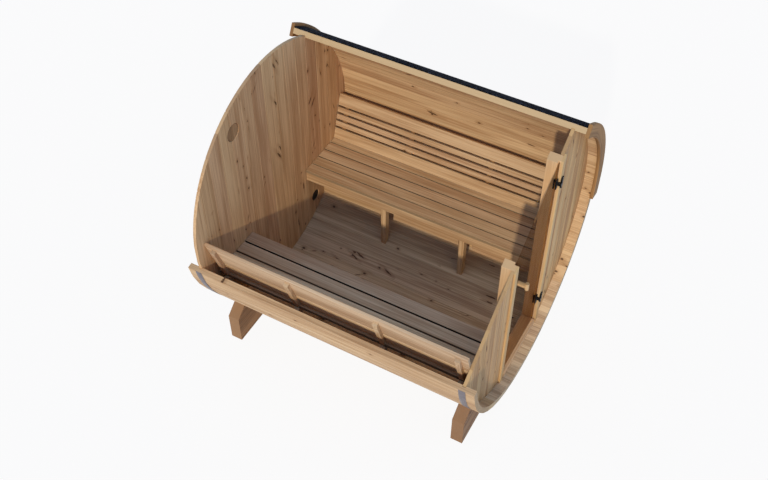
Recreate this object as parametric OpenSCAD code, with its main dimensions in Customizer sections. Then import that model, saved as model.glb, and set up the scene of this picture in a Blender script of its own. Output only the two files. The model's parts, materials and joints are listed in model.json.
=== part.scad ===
// Barrel sauna, shown cut open along one side: a ring of bead-and-cove staves on two cradles,
// two boarded end walls seated in croze grooves, a glass door and two facing benches.
// Units are millimetres. +X runs along the barrel towards the door, +Z is up, the ground is z = 0.

/* [Barrel] */
// Distance from the barrel's axis to the flat outside of a stave
barrel_r = 980; // [900:5:1100]
// Length of the staves
stave_len = 2105; // [1800:5:2600]
// Thickness of a stave
stave_t = 40; // [34:1:48]
// Staves in a closed ring
stave_count = 48; // [44:1:52]
// Radius of the bead along one edge of a stave
bead_r = 10; // [6:1:12]
// Gap left at each joint between boards
joint_gap = 0.4; // [0.2:0.1:0.8]
// Height of the underside of the barrel above the ground
ground_clear = 60; // [40:5:120]

/* [Cut-away side] */
// Angle above the horizontal where the roof stops
roof_cut = 61.25; // [50:0.25:75]
// Staves that are left in the ring
staves_kept = 31; // [28:1:33]
// Angle to each side of straight down that the floor staves take
floor_half = 38; // [34:1:42]

/* [End walls] */
// Thickness of the wall boards
wall_t = 22; // [20:1:34]
// How far the staves run on past a wall
overhang = 73; // [40:1:120]
// Depth of the croze groove in the staves
croze_depth = 13; // [8:1:18]
// Clearance of a wall in its groove
croze_gap = 0.5; // [0.3:0.1:1]
// Boards across the back wall
back_boards = 15; // [12:1:20]
// Boards beside the doorway, on each side
side_boards = 6; // [4:1:8]
// Chamfer along the edges of a wall board
board_chamfer = 3; // [1:0.5:5]

/* [Vents] */
// Diameter of the upper vent hole in the back wall
high_vent_d = 126; // [80:2:140]
// Diameter of the lower vent hole in the back wall
low_vent_d = 96; // [60:2:120]
// Depth of the upper vent below the top of the barrel's inside
high_vent_drop = 280; // [240:1:380]
// Distance of the upper vent from the middle of the wall
high_vent_y = 425; // [380:1:460]
// Height of the lower vent above the bottom of the barrel's inside
low_vent_rise = 266; // [240:1:320]
// Distance of the lower vent from the middle of the wall
low_vent_y = 446; // [380:1:460]
// How far a vent's cover reaches past its hole
cover_lap = 14; // [8:1:25]
// Thickness of a vent cover
cover_t = 16; // [10:1:22]
// Clearance round the plug that closes a vent
plug_gap = 4; // [1:0.5:6]
// How far a plug stops short of the wall's inside
plug_set = 4; // [0:1:12]

/* [Doorway] */
// Clear width between the jambs
door_w = 540; // [480:5:640]
// Width of a jamb
jamb_w = 46; // [38:1:60]
// How far a jamb stands in past the wall
jamb_in = 67; // [20:1:80]
// Width of the rebate that the door shuts into
rebate_w = 14; // [10:1:18]
// Depth of the rebate
rebate_d = 18; // [15:1:24]
// Width of a casing strip
casing_w = 44; // [36:1:60]
// Thickness of a casing strip
casing_t = 15; // [10:1:20]
// Height of the sill's top above the bottom of the barrel's inside
sill_rise = 97; // [80:1:140]
// Thickness of the sill
sill_t = 34; // [26:1:40]

/* [Glass door] */
// Thickness of the glass
glass_t = 8; // [6:1:10]
// Clearance round the edges of the door
door_gap = 5; // [5:0.5:8]
// Height of a hinge
hinge_h = 76; // [45:1:90]
// Radius of a hinge knuckle
knuckle_r = 7; // [6:0.5:9]
// Radius of a hinge pin
pin_r = 3; // [2:0.5:4]
// Running clearance round a hinge pin
pin_gap = 0.05; // [0.02:0.01:0.1]
// Gap between the knuckles of a hinge
knuckle_gap = 0.25; // [0.2:0.05:0.5]
// Height of the upper hinge above the barrel's axis
upper_hinge_z = 526; // [490:1:560]
// Depth of the lower hinge below the barrel's axis
lower_hinge_z = 613; // [560:1:660]
// Thickness of the hinge plates
plate_t = 9; // [4:0.5:10]
// Width of the hinge plates on the casing
plate_w = 28; // [22:1:37]
// Width of the clamps on the glass
clamp_w = 24; // [20:1:36]
// Height of the handle above the barrel's axis
handle_z = 68; // [0:1:160]
// Distance of the handle from the edge of the doorway
handle_inset = 60; // [45:1:90]
// Diameter of the handle's stem
stem_d = 34; // [26:1:42]
// Length of the handle's stem
stem_len = 64; // [36:1:80]
// Height of the handle's bar
bar_h = 56; // [44:2:120]
// Diameter of the handle's bar
bar_d = 26; // [22:1:34]

/* [Benches] */
// Depth of the seats' top below the barrel's axis
seat_z = 314; // [280:1:360]
// Room between the seats' rear edges and the widest part of the barrel's inside
seat_room = 156; // [125:1:185]
// Slats across the roofed side's seat
seat_slats = 5; // [4:1:5]
// Width of a slat of the roofed side's seat
slat_w = 82; // [76:1:85]
// Gap between the slats of the roofed side's seat
slat_gap = 9; // [6:0.5:11]
// How far the open side's seat stands back behind the roofed side's
open_seat_set = 41; // [34:1:46]
// Slats across the open side's seat
open_slats = 4; // [3:1:4]
// Gap between the slats of the open side's seat
open_slat_gap = 13; // [8:0.5:16]
// Thickness of a seat slat
slat_t = 26; // [20:1:32]
// Gap between the benches and the end walls
bench_gap = 2; // [1:0.5:6]
// Height of the apron under a seat's front slat
apron_h = 74; // [60:1:90]
// Thickness of the apron and of the skirts
apron_t = 28; // [22:1:34]
// Height of the skirts under the seat slats
skirt_h = 225; // [180:1:260]
// How far the skirts stand back behind the roofed side's apron
skirt_set = 55; // [45:1:75]
// Distance of a skirt's end from the end wall
skirt_inset = 100; // [95:1:130]
// Gap from a leg to the skirt on the leg's back side
skirt_notch_back = 13; // [8:1:40]
// Gap from a leg to the skirt on the leg's door side
skirt_notch_door = 53; // [20:1:70]
// Distance of the legs from the middle of the barrel
leg_x = 324; // [280:1:380]
// Width of a leg, along the barrel
leg_w = 42; // [36:1:50]
// Depth of a leg, across the barrel
leg_d = 58; // [46:1:70]
// How far a leg stands back behind the apron
leg_set = 29; // [20:1:50]
// Width of a bearer
bearer_w = 36; // [30:1:46]
// Height of a bearer
bearer_h = 68; // [50:1:80]
// Distance of the end bearers from the end walls
bearer_inset = 50; // [40:1:55]

/* [Backrests] */
// Lean of a backrest
rest_lean = 18; // [12:1:20]
// Thickness of the backrest boards
rest_t = 20; // [16:1:24]
// Height of the roofed side's bottom board
rest_bottom_h = 88; // [80:1:100]
// Height of the roofed side's top board
rest_top_h = 94; // [80:1:110]
// Height of the open side's top board
open_rest_top_h = 215; // [180:1:230]
// Slats between the two boards
rest_slats = 3; // [2:1:3]
// Height of a backrest slat
rest_slat_h = 41; // [36:1:48]
// Gap between the boards of a backrest
rest_gap = 17; // [10:1:20]
// How far a backrest's foot stands in from the seat's rear edge
rest_in = 36; // [32:1:48]
// Width of a batten
batten_w = 34; // [26:1:44]
// Depth of a batten
batten_d = 26; // [20:1:32]
// Distance of a batten's end below the backrest's top
batten_drop = 36; // [20:1:50]

/* [Outside] */
// Width of a steel hoop
hoop_w = 48; // [30:1:60]
// Thickness of a steel hoop
hoop_t = 1.5; // [1:0.5:3]
// Clearance between layers round the barrel
layer_gap = 0.2; // [0.1:0.1:0.5]
// Thickness of the roof covering
felt_t = 7; // [4:0.5:10]
// Angle below the horizontal where the roof covering stops
felt_drop = 7.5; // [0:0.5:20]
// Thickness of a fascia board
fascia_t = 25; // [18:1:32]
// How far a fascia board rises above the roof covering
fascia_rise = 20; // [10:1:30]
// How far a fascia board reaches in past the staves
fascia_lap = 22; // [10:1:40]
// Angle below the horizontal where a fascia board stops
fascia_drop = 8.5; // [8:0.5:20]

/* [Cradles] */
// Thickness of a cradle, along the barrel
cradle_t = 88; // [70:1:110]
// Half the length of a cradle
cradle_half = 794; // [700:1:840]
// Height of the upright end of a cradle
cradle_end_h = 235; // [180:1:250]
// How far the sloped end of a cradle leans in
cradle_lean = 112; // [80:1:160]
// Height of the sloped end of a cradle
cradle_slope_h = 92; // [80:1:140]
// Gap between a cradle and the hoop beside it
cradle_gap = 4; // [1:0.5:20]

/* [Hidden] */
$fn = 96;
eps = 1;
far = 4 * barrel_r;
wedge_steps = 6;

// Ring of staves
pitch = 360 / stave_count;
half_pitch = pitch / 2;
open_cut = roof_cut - staves_kept * pitch;
inner_r = barrel_r - stave_t;
mid_r = barrel_r - stave_t / 2;
corner_r = barrel_r / cos(half_pitch);
hoop_r = corner_r + layer_gap;
felt_r = hoop_r + hoop_t + layer_gap;
fascia_r = felt_r + felt_t + fascia_rise;

// Last stave of each run, counted down from the roof
roof_last = floor(roof_cut / pitch) - 1;
roof_side_last = floor((roof_cut + 90 - floor_half) / pitch) - 1;
floor_last = floor((roof_cut + 90 + floor_half) / pitch) - 1;

// Place of the barrel's axis, so that the part's box stands centred on the origin
axis_z = barrel_r + ground_clear;
open_reach = (hoop_r + hoop_t) * cos(180 + open_cut);
axis_y = (open_reach - fascia_r) / 2;

// End walls
croze_r = inner_r + croze_depth;
wall_r = croze_r - croze_gap;
wall_out = stave_len / 2 - overhang;
wall_in = wall_out - wall_t;
high_vent_z = inner_r - high_vent_drop;
low_vent_z = inner_r - low_vent_rise;
jamb_y = door_w / 2;
frame_y = jamb_y + jamb_w - joint_gap;
low_edge = [inner_r * cos(open_cut), inner_r * sin(open_cut)];
high_edge = [inner_r * cos(roof_cut), inner_r * sin(roof_cut)];
chord = high_edge - low_edge;
chord_angle = atan2(chord[1], chord[0]);

// Door
rebate_x = wall_out - rebate_d;
glass_x = rebate_x + door_gap;
glass_out = glass_x + glass_t;
leaf_half = jamb_y + rebate_w - door_gap;
sill_top = sill_rise - inner_r;
leaf_bottom = sill_top + door_gap;
pin_x = wall_out + casing_t + knuckle_r + layer_gap;
pin_y = jamb_y + rebate_w + knuckle_r;
hinge_zs = [upper_hinge_z, -lower_hinge_z];
handle_y = -jamb_y + handle_inset;

// Benches
bench_len = 2 * (wall_in - bench_gap);
seat_top = -seat_z;
seat_back = inner_r - seat_room;
seat_front = seat_back - seat_slats * (slat_w + slat_gap) + slat_gap;
open_seat_front = seat_front + open_seat_set;
open_slat_w = (seat_back - open_seat_front + open_slat_gap) / open_slats - open_slat_gap;
bearer_top = seat_top - slat_t;
function front_edge(side) = side > 0 ? seat_front : open_seat_front;
function bearer_front(side) = front_edge(side) + apron_t;
leg_top = bearer_top - bearer_h;
bearer_x = wall_in - bearer_inset - bearer_w / 2;
bearer_xs = [-bearer_x, -leg_x, leg_x, bearer_x];
apron_bottom = bearer_top - apron_h;
skirt_front = bearer_front(1) + skirt_set;
skirt_back = leg_w / 2 + skirt_notch_back;
skirt_door = leg_w / 2 + skirt_notch_door;
skirt_spans = [
    [-wall_in + skirt_inset, -leg_x - skirt_back],
    [-leg_x + skirt_door, leg_x - skirt_back],
    [leg_x + skirt_door, wall_in - skirt_inset]
];
rest_pitch = rest_slat_h + rest_gap;
rest_top_u = rest_bottom_h + rest_gap + rest_slats * rest_pitch;
rest_h = rest_top_u + rest_top_h;
open_rest_top_u = rest_h - open_rest_top_h;
rest_foot = [seat_back - rest_in, seat_top + rest_t * sin(rest_lean)];

// Outside
hoop_x = wall_out - wall_t / 2;
cradle_x = hoop_x - hoop_w / 2 - cradle_gap - cradle_t / 2;
ground = -axis_z;

// Moves what is drawn about the barrel's axis to its place above the ground
module placed() {
    translate([0, axis_y, axis_z]) children();
}

// Extrudes an outline drawn across the barrel, centred on x
module across(x, len) {
    translate([x - len / 2, 0, 0]) rotate([90, 0, 90]) linear_extrude(len) children();
}

// Solid cylinder about the barrel's axis
module drum(r, x0, x1) {
    translate([x0, 0, 0]) rotate([0, 90, 0]) cylinder(r = r, h = x1 - x0);
}

// Box between two corners
module block(a, b) {
    translate(a) cube(b - a);
}

// Outline of the stave ring's flats at a given distance from the axis, for one side of the barrel
module ring_outline(r, side = 1) {
    first = side > 0 ? roof_cut : 180 - roof_cut;
    polygon([for (k = [0 : stave_count - 1])
        let (a = first + k * pitch)
        [r / cos(half_pitch) * cos(a), r / cos(half_pitch) * sin(a)]]);
}

// Wedge from the axis between two angles
module wedge(a0, a1) {
    polygon(concat([[0, 0]], [for (k = [0 : wedge_steps])
        let (a = a0 + (a1 - a0) * k / wedge_steps)
        [far * cos(a), far * sin(a)]]));
}

// Band about the axis between two angles
module band(r0, r1, a0, a1) {
    intersection() {
        difference() {
            circle(r = r1);
            circle(r = r0);
        }
        wedge(a0, a1);
    }
}

// Half the width of a stave's edge planes at a distance from the axis
function edge_y(r) = r * tan(half_pitch) - joint_gap / 2 / cos(half_pitch);

// Section of a stave: planed flat, a bead on one edge and a cove on the other, left off where the ring is cut
module stave_section(bead, cove) {
    difference() {
        union() {
            polygon([
                [inner_r, -edge_y(inner_r)],
                [barrel_r, -edge_y(barrel_r)],
                [barrel_r, edge_y(barrel_r)],
                [inner_r, edge_y(inner_r)]
            ]);
            if (bead) translate([mid_r, edge_y(mid_r)]) circle(r = bead_r);
        }
        if (cove) rotate(-pitch) translate([mid_r, edge_y(mid_r)]) circle(r = bead_r + joint_gap);
    }
}

// Staves from the first to the last, counted down from the roof, with their croze grooves
module staves(first, last) {
    placed() difference() {
        for (k = [first : last])
            across(0, stave_len) rotate(roof_cut - (k + 0.5) * pitch)
                stave_section(bead = k > 0, cove = k < staves_kept - 1);
        drum(croze_r, wall_in - croze_gap, wall_out + croze_gap);
        drum(croze_r, -wall_out - croze_gap, -wall_in + croze_gap);
    }
}

module floor_staves() { color("peru") staves(roof_side_last + 1, floor_last); }
module open_side_staves() { color("burlywood") staves(floor_last + 1, staves_kept - 1); }
module roof_side_staves() { color("peru") staves(roof_last + 1, roof_side_last); }
module roof_staves() { color("burlywood") staves(0, roof_last); }

// Upright board of an end wall, chamfered along its edges
module board(x, y, w) {
    c = board_chamfer;
    t = wall_t / 2;
    b = (w - joint_gap) / 2;
    translate([x, y, -barrel_r]) linear_extrude(2 * barrel_r)
        polygon([
            [-t, -b + c], [-t, b - c], [c - t, b], [t - c, b],
            [t, b - c], [t, c - b], [t - c, -b], [c - t, -b]
        ]);
}

// Half-space under the sloping cut of the front end
module under_cut() {
    translate([0, low_edge[0], low_edge[1]]) rotate([chord_angle, 0, 0])
        translate([-far, -far, -2 * far]) cube(2 * far);
}

// Bore of a vent through the back wall
module vent_bore(y, z, d) {
    translate([-wall_out - eps, y, z]) rotate([0, 90, 0]) cylinder(d = d, h = wall_t + 2 * eps);
}

// Boards of the back wall, cut to the groove and bored for the vents
module back_wall() {
    w = 2 * wall_r / back_boards;
    color("tan") placed() difference() {
        intersection() {
            for (k = [0 : back_boards - 1])
                board(-wall_out + wall_t / 2, -wall_r + (k + 0.5) * w, w);
            drum(wall_r, -wall_out - eps, -wall_in + eps);
        }
        vent_bore(-high_vent_y, high_vent_z, high_vent_d);
        vent_bore(low_vent_y, -low_vent_z, low_vent_d);
    }
}

// Turned cover on the outside of a vent, with a plug that fills the hole
module vent_cover(y, z, d) {
    placed() translate([-wall_out - cover_t, y, z]) rotate([0, 90, 0]) {
        cylinder(d = d + 2 * cover_lap, h = cover_t);
        cylinder(d = d - 2 * plug_gap, h = cover_t + wall_t - plug_set);
    }
}

module high_vent_cover() { color("peru") vent_cover(-high_vent_y, high_vent_z, high_vent_d); }
module low_vent_cover() { color("black") vent_cover(low_vent_y, -low_vent_z, low_vent_d); }

// Boards of the front wall between two sides, cut to the groove and along the sloping cut
module front_boards(y0, y1) {
    w = (y1 - y0) / side_boards;
    placed() intersection() {
        for (k = [0 : side_boards - 1])
            board(wall_out - wall_t / 2, y0 + (k + 0.5) * w, w);
        drum(wall_r, wall_in - eps, wall_out + eps);
        under_cut();
    }
}

module front_wall_open_side() { color("tan") front_boards(-wall_r, -jamb_y - jamb_w); }
module front_wall_roof_side() { color("tan") front_boards(jamb_y + jamb_w, wall_r); }

module front_wall_under_sill() {
    color("tan") placed() intersection() {
        block([wall_in, -frame_y, -barrel_r], [wall_out, frame_y, sill_top - sill_t]);
        drum(wall_r, wall_in - eps, wall_out + eps);
    }
}

// Jamb with its rebate, standing on the sill; side is 1 at the hinges and -1 at the latch
module jamb(side) {
    placed() intersection() {
        mirror([0, side > 0 ? 0 : 1, 0])
            translate([0, 0, sill_top - sill_t])
                linear_extrude(2 * barrel_r)
                    polygon([
                        [wall_in - jamb_in, jamb_y], [rebate_x, jamb_y], [rebate_x, jamb_y + rebate_w],
                        [wall_out, jamb_y + rebate_w], [wall_out, frame_y], [wall_in - jamb_in, frame_y]
                    ]);
        under_cut();
    }
}

module latch_jamb() { color("rosybrown") jamb(-1); }
module hinge_jamb() { color("rosybrown") jamb(1); }

module door_casings() {
    color("wheat") placed() intersection() {
        for (side = [-1, 1])
            mirror([0, side > 0 ? 0 : 1, 0])
                block(
                    [wall_out, jamb_y + rebate_w, -barrel_r],
                    [wall_out + casing_t, jamb_y + rebate_w + casing_w, barrel_r]
                );
        across(wall_out + casing_t / 2, 2 * casing_t) ring_outline(inner_r - layer_gap);
        under_cut();
    }
}

module door_sill() {
    y = jamb_y - joint_gap;
    color("wheat") placed()
        block([wall_in - jamb_in, -y, sill_top - sill_t], [wall_out + casing_t, y, sill_top]);
}

module glass_pane() {
    color("saddlebrown", 0.5) placed() intersection() {
        block([glass_x, -leaf_half, leaf_bottom], [glass_out, leaf_half, barrel_r]);
        translate([0, 0, -door_gap]) under_cut();
    }
}

module door_handle() {
    color("burlywood") placed() translate([glass_out, handle_y, handle_z]) {
        rotate([0, 90, 0]) cylinder(d = stem_d, h = stem_len);
        translate([stem_len, 0, -bar_h / 2]) cylinder(d = bar_d, h = bar_h);
    }
}

// Clamps on the glass, each with the middle knuckle of its hinge
module hinge_clamps() {
    third = hinge_h / 3;
    arm_y = leaf_half - clamp_w;
    color("black") placed() for (z = hinge_zs)
        difference() {
            union() {
                block(
                    [glass_out, arm_y, z - hinge_h / 2],
                    [glass_out + plate_t, leaf_half, z + hinge_h / 2]
                );
                block(
                    [glass_x - plate_t, arm_y, z - hinge_h / 2],
                    [glass_x, jamb_y - door_gap, z + hinge_h / 2]
                );
                block(
                    [glass_out, leaf_half - plate_t, z - third / 2],
                    [pin_x + knuckle_r, leaf_half, z + third / 2]
                );
                block(
                    [pin_x + knuckle_r - plate_t, leaf_half - plate_t, z - third / 2],
                    [pin_x + knuckle_r, pin_y, z + third / 2]
                );
                translate([pin_x, pin_y, z - third / 2]) cylinder(r = knuckle_r, h = third);
            }
            translate([pin_x, pin_y, z - hinge_h]) cylinder(r = pin_r + pin_gap, h = 2 * hinge_h);
        }
}

// Plates on the hinge jamb's casing, each with its outer knuckles and pin
module hinge_plates() {
    third = hinge_h / 3;
    color("black") placed() for (z = hinge_zs) {
        translate([pin_x, pin_y, z - hinge_h / 2]) cylinder(r = pin_r, h = hinge_h);
        for (s = [-1, 1])
            translate([pin_x, pin_y, z + s * (third + knuckle_gap) - third / 2]) {
                cylinder(r = knuckle_r, h = third);
                translate([-knuckle_r, 0, 0]) cube([plate_t, plate_w, third]);
            }
        block(
            [pin_x - knuckle_r, pin_y + knuckle_r + door_gap, z - hinge_h / 2],
            [pin_x - knuckle_r + plate_t, pin_y + plate_w, z + hinge_h / 2]
        );
    }
}

// Draws a bench on the roofed side, or mirrored on the open side
module on_side(side) {
    placed() mirror([0, side > 0 ? 0 : 1, 0]) children();
}

module bench_slats(side, count, w, gap) {
    on_side(side) for (k = [0 : count - 1])
        translate([0, front_edge(side) + k * (w + gap), 0])
            block([-bench_len / 2, 0, bearer_top], [bench_len / 2, w, seat_top]);
}

module bench_apron(side) {
    on_side(side)
        block(
            [-bench_len / 2, front_edge(side), apron_bottom],
            [bench_len / 2, bearer_front(side), bearer_top]
        );
}

// Boards that hang under the slats behind the apron, with gaps at the legs
module bench_skirts(side) {
    on_side(side) for (span = skirt_spans)
        block([span[0], skirt_front, bearer_top - skirt_h], [span[1], skirt_front + apron_t, bearer_top]);
}

// Bearers from the apron to the staves, their outer ends cut to the ring
module bench_bearers(side) {
    on_side(side) for (x = bearer_xs)
        across(x, bearer_w) intersection() {
            translate([bearer_front(side), leg_top]) square([barrel_r, bearer_h]);
            ring_outline(inner_r - layer_gap, side);
        }
}

// Legs under the middle bearers, their feet cut to the ring
module bench_legs(side) {
    on_side(side) for (x = [-leg_x, leg_x])
        across(x, leg_w) intersection() {
            translate([bearer_front(side) + leg_set, leg_top - barrel_r]) square([leg_d, barrel_r]);
            ring_outline(inner_r - layer_gap, side);
        }
}

// Outline leaning back from the rear slat of the seat
module leaning() {
    translate(rest_foot) rotate(-rest_lean) children();
}

module open_backrest_boards() {
    color("burlywood") on_side(-1) across(0, bench_len) leaning() {
        square([rest_t, open_rest_top_u - rest_gap]);
        translate([0, open_rest_top_u]) square([rest_t, open_rest_top_h]);
    }
}

module roof_backrest_boards() {
    color("burlywood") on_side(1) across(0, bench_len) leaning() {
        square([rest_t, rest_bottom_h]);
        for (k = [0 : rest_slats - 1])
            translate([0, rest_bottom_h + rest_gap + k * rest_pitch]) square([rest_t, rest_slat_h]);
        translate([0, rest_top_u]) square([rest_t, rest_top_h]);
    }
}

// Battens behind a backrest, their feet standing on the rear slat
module backrest_battens(side) {
    on_side(side) for (x = bearer_xs)
        across(x, batten_w) difference() {
            leaning() translate([rest_t, -barrel_r])
                square([batten_d, barrel_r + rest_h - batten_drop]);
            translate([0, seat_top - far]) square([far, far]);
        }
}

module open_bench_slats() { color("burlywood") bench_slats(-1, open_slats, open_slat_w, open_slat_gap); }
module open_bench_apron() { color("burlywood") bench_apron(-1); }
module open_bench_skirts() { color("burlywood") bench_skirts(-1); }
module open_bench_bearers() { color("tan") bench_bearers(-1); }
module open_bench_legs() { color("tan") bench_legs(-1); }
module open_backrest_battens() { color("tan") backrest_battens(-1); }
module roof_bench_slats() { color("burlywood") bench_slats(1, seat_slats, slat_w, slat_gap); }
module roof_bench_apron() { color("burlywood") bench_apron(1); }
module roof_bench_skirts() { color("burlywood") bench_skirts(1); }
module roof_bench_bearers() { color("tan") bench_bearers(1); }
module roof_bench_legs() { color("tan") bench_legs(1); }
module roof_backrest_battens() { color("tan") backrest_battens(1); }

// Steel hoop round the staves that are left
module hoop(x) {
    placed() across(x, hoop_w) difference() {
        intersection() {
            circle(r = hoop_r + hoop_t);
            union() {
                wedge(open_cut, open_cut + 90);
                wedge(open_cut + 90, roof_cut);
            }
        }
        circle(r = hoop_r);
    }
}

module back_hoop() { color("slategray") hoop(-hoop_x); }
module front_hoop() { color("slategray") hoop(hoop_x); }

module roof_felt() {
    color("midnightblue") placed()
        across(0, stave_len) band(felt_r, felt_r + felt_t, -felt_drop, roof_cut);
}

// Curved board over the ends of the staves
module fascia(side) {
    placed() across(side * (stave_len + fascia_t) / 2, fascia_t)
        band(inner_r - fascia_lap, fascia_r, -fascia_drop, roof_cut);
}

module back_fascia() { color("peru") fascia(-1); }
module front_fascia() { color("peru") fascia(1); }

// Cross beam with a saddle that the staves lie in
module cradle(x) {
    placed() across(x, cradle_t) difference() {
        polygon([
            [-cradle_half, ground], [cradle_half, ground], [cradle_half, ground + cradle_end_h],
            [cradle_half - cradle_lean, ground + cradle_end_h + cradle_slope_h],
            [cradle_lean - cradle_half, ground + cradle_end_h + cradle_slope_h],
            [-cradle_half, ground + cradle_end_h]
        ]);
        ring_outline(barrel_r + layer_gap);
    }
}

module back_cradle() { color("saddlebrown") cradle(-cradle_x); }
module front_cradle() { color("saddlebrown") cradle(cradle_x); }

floor_staves();
open_side_staves();
roof_side_staves();
roof_staves();
back_wall();
high_vent_cover();
low_vent_cover();
front_wall_open_side();
front_wall_roof_side();
front_wall_under_sill();
latch_jamb();
hinge_jamb();
door_casings();
door_sill();
glass_pane();
door_handle();
hinge_clamps();
hinge_plates();
open_bench_slats();
open_bench_apron();
open_bench_skirts();
open_bench_bearers();
open_bench_legs();
open_backrest_boards();
open_backrest_battens();
roof_bench_slats();
roof_bench_apron();
roof_bench_skirts();
roof_bench_bearers();
roof_bench_legs();
roof_backrest_boards();
roof_backrest_battens();
back_hoop();
front_hoop();
roof_felt();
back_fascia();
front_fascia();
back_cradle();
front_cradle();
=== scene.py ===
"""Dresses the cut-away barrel sauna: rounded boards with their own grain, glass, steel and roof felt."""

import json
import math
import random

import bmesh
import bpy
import numpy as np
from bpy.props import FloatProperty, FloatVectorProperty, PointerProperty
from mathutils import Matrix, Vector

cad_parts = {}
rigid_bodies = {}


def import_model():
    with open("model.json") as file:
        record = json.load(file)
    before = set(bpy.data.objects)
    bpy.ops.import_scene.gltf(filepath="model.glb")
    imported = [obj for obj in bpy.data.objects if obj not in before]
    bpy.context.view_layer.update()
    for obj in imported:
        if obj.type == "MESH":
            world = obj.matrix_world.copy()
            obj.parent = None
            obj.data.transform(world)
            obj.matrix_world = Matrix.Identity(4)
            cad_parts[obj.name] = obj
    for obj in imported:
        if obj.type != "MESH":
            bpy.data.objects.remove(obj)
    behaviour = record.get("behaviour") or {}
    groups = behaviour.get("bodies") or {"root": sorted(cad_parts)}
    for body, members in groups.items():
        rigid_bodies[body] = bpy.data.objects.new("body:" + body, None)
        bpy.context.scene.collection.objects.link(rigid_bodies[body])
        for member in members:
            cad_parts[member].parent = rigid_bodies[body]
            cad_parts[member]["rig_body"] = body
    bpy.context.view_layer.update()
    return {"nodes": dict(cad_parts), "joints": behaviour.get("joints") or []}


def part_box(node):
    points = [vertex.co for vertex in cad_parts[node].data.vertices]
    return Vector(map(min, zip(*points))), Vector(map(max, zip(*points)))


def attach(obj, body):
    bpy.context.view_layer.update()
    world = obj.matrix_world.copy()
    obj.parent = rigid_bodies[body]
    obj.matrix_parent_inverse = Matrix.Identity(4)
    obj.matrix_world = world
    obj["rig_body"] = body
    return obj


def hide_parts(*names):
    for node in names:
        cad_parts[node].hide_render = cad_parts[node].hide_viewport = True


bl_info = {
    "name": "Barrel sauna",
    "version": (1, 0, 0),
    "blender": (4, 5, 0),
    "location": "View3D > Sidebar > Sauna",
    "description": "Dresses a cut-away barrel sauna of bead-and-cove staves",
    "category": "Object",
}

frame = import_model()

# The barrel's axis runs along X, over the middle of the sill, at the height of the door's hinge point.
HINGE = frame["joints"][0]
AXIS_Z = HINGE["pos_m"][2]
SILL_LOW, SILL_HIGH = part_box("door_sill")
AXIS_Y = (SILL_LOW.y + SILL_HIGH.y) / 2

# Ways the grain runs. Staves and seat slats run along X too; their ends and long narrow sides are darkened past
# sawn end grain, which is painted shade on the staves' cut faces and in the gaps between slats.
X, Y, Z = Vector((1, 0, 0)), Vector((0, 1, 0)), Vector((0, 0, 1))
ALONG = {"X": X, "Y": Y, "Z": Z, "STAVE": X, "SLAT": X}


def linear(red, green, blue):
    """Turns a colour, given 0 to 255 a channel, into the linear colour that the shaders take."""
    def channel(value):
        share = value / 255
        return share / 12.92 if share <= 0.04045 else ((share + 0.055) / 1.055) ** 2.4
    return channel(red), channel(green), channel(blue)


def colour(name, description, red, green, blue):
    """A colour property with its default."""
    return FloatVectorProperty(
        name=name, description=description, subtype="COLOR", size=3, min=0, max=1,
        default=linear(red, green, blue),
    )


def length(name, description, metres):
    """A length property with its default."""
    return FloatProperty(name=name, description=description, default=metres, min=0, unit="LENGTH")


class SaunaSizes(bpy.types.PropertyGroup):
    """Sizes of the rounded edges."""

    stave_edge: length("Stave edge", "Rounding of staves and fascias", 0.0022)
    board_edge: length("Board edge", "Rounding of wall boards, vent covers, jambs, casings and sill", 0.0016)
    slat_edge: length("Slat edge", "Rounding of slats, aprons, skirts and backrests", 0.0012)
    beam_edge: length("Beam edge", "Rounding of cradles, legs and bearers", 0.004)
    handle_edge: length("Handle edge", "Rounding of the turned handle", 0.0035)
    metal_edge: length("Metal edge", "Rounding of hinges and hoops", 0.0006)
    glass_edge: length("Glass edge", "Polished edge of the door pane", 0.001)
    felt_edge: length("Felt edge", "Rounding of the roof felt's edge", 0.002)


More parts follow.
